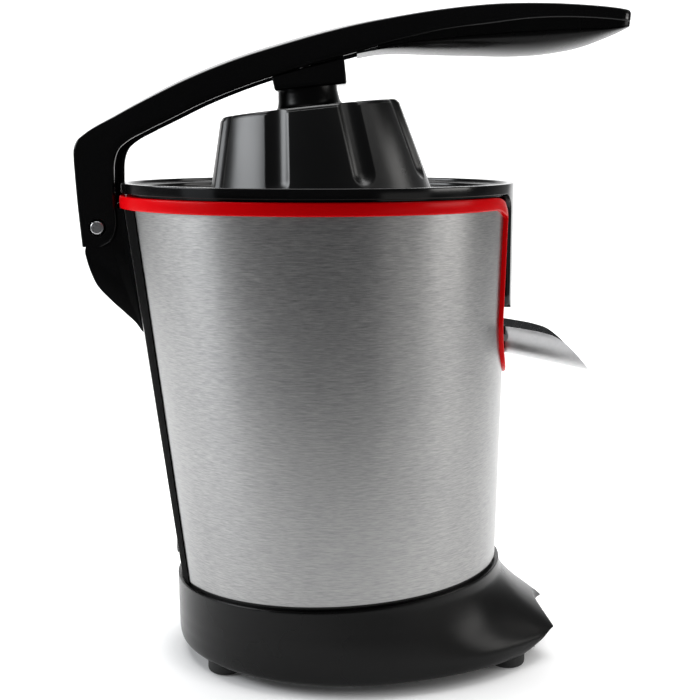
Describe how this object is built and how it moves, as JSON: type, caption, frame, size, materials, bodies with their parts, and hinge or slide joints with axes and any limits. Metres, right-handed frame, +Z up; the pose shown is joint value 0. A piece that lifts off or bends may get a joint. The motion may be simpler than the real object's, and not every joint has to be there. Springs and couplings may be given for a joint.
{
  "type": "lever citrus press",
  "caption": "Electric citrus press with a swinging lever arm and fluted pressing dome over a spinning reamer, a bowl with tilting spout, a tapered steel body and a flared base",
  "frame": {"origin": "centre of the bounding box at floor level", "axes": "+X to the front where the spout is, +Y to the left seen from behind, +Z up"},
  "size_m": [0.2539, 0.182, 0.3011],
  "materials": {
    "black_gloss": "deep black gloss moulding",
    "black_satin": "fine-grained satin black moulding",
    "body_steel": "horizontally brushed sheet",
    "bright_steel": "polished pressed sheet",
    "red_gloss": "saturated red gloss trim",
    "rubber": "dark moulded rubber",
    "plain_steel": "turned or zinc-plated steel",
    "nylon": "natural nylon gears and washers",
    "bronze": "sintered bronze and copper",
    "lamination": "stacked iron laminations"
  },
  "bodies": {
    "housing": {"base_shell": "black_satin", "bottom_plate": "black_satin", "screw_posts": "black_satin", "inner_housing": "black_satin", "spout_carrier": "black_satin", "motor_deck": "black_satin", "deck_ledges": "black_satin", "spring_guide": "black_satin", "micro_switch": "black_satin", "groove_ring": "black_satin", "cord_gland": "black_satin", "seam_strips": "black_gloss", "hinge_bracket": "black_gloss", "juice_bowl": "black_gloss", "body_wrap": "body_steel", "rear_panel": "body_steel", "strainer": "bright_steel", "red_trim": "red_gloss", "rubber_feet": "rubber", "shaft_seal": "rubber", "base_screws": "plain_steel", "bracket_screws": "plain_steel", "hinge_pin": "plain_steel", "gear_plate": "plain_steel", "gear_pillars": "plain_steel", "deck_screws": "plain_steel", "idler_pin": "plain_steel", "motor_end_bracket": "plain_steel", "motor_spacers": "plain_steel", "motor_bearings": "plain_steel", "motor_screws": "plain_steel", "switch_bracket": "plain_steel", "return_spring": "plain_steel", "hinge_washers": "nylon", "spindle_bushes": "bronze", "field_coils": "bronze", "motor_stator": "lamination"},
    "press_arm": {"arm_shell": "black_gloss", "handle_underside": "black_satin", "arm_core": "plain_steel", "stem_block": "black_satin", "press_dome": "black_satin", "dome_screw": "plain_steel", "arm_screws": "plain_steel", "hinge_bushes": "nylon"},
    "thrust_slide": {"thrust_cup": "nylon"},
    "spindle": {"drive_shaft": "plain_steel", "reamer_cone": "black_satin", "shaft_clip": "plain_steel"},
    "output_drive": {"output_gear": "nylon"},
    "idler": {"idler_gear": "nylon", "idler_pinion": "nylon"},
    "rotor": {"rotor_shaft": "plain_steel", "rotor_core": "lamination", "motor_pinion": "nylon", "cooling_fan": "black_satin"},
    "spout_body": {"spout": "bright_steel", "spout_pivots": "plain_steel"},
    "switch_button": {"switch_plunger": "black_satin"}
  },
  "joints": [
    {"name": "arm_hinge", "type": "hinge", "parent": "housing", "child": "press_arm", "pos_m": [-0.115, 0, 0.2009], "axis": [0, -1, 0], "range_deg": [0, 78]},
    {"name": "spindle_press", "type": "slide", "parent": "housing", "child": "thrust_slide", "axis": [0, 0, -1], "range_m": [0, 0.003], "stiffness_N_per_m": 4000, "springref_m": -0.002, "deforming": ["return_spring"]},
    {"name": "spindle_spin", "type": "hinge", "parent": "thrust_slide", "child": "spindle", "pos_m": [-0.0145, 0, 0.1], "axis": [0, 0, 1], "continuous": true},
    {"name": "output_spin", "type": "hinge", "parent": "housing", "child": "output_drive", "pos_m": [-0.0145, 0, 0.1], "axis": [0, 0, 1], "continuous": true},
    {"name": "idler_spin", "type": "hinge", "parent": "housing", "child": "idler", "pos_m": [0.0099, 0.02848, 0.1], "axis": [0, 0, 1], "continuous": true},
    {"name": "rotor_spin", "type": "hinge", "parent": "housing", "child": "rotor", "pos_m": [0.0195, 0, 0.1], "axis": [0, 0, 1], "continuous": true},
    {"name": "spout_tilt", "type": "hinge", "parent": "housing", "child": "spout_body", "pos_m": [0.071, 0, 0.151], "axis": [0, -1, 0], "range_deg": [0, 20]},
    {"name": "switch_press", "type": "slide", "parent": "housing", "child": "switch_button", "axis": [0, 0, -1], "range_m": [0, 0.003]}
  ],
  "couplings": [
    {"joint": "spindle_spin", "follows": "rotor_spin", "ratio": 0.0625},
    {"joint": "output_spin", "follows": "rotor_spin", "ratio": 0.0625},
    {"joint": "idler_spin", "follows": "rotor_spin", "ratio": -0.25},
    {"joint": "switch_press", "follows": "spindle_press", "ratio": 1}
  ]
}
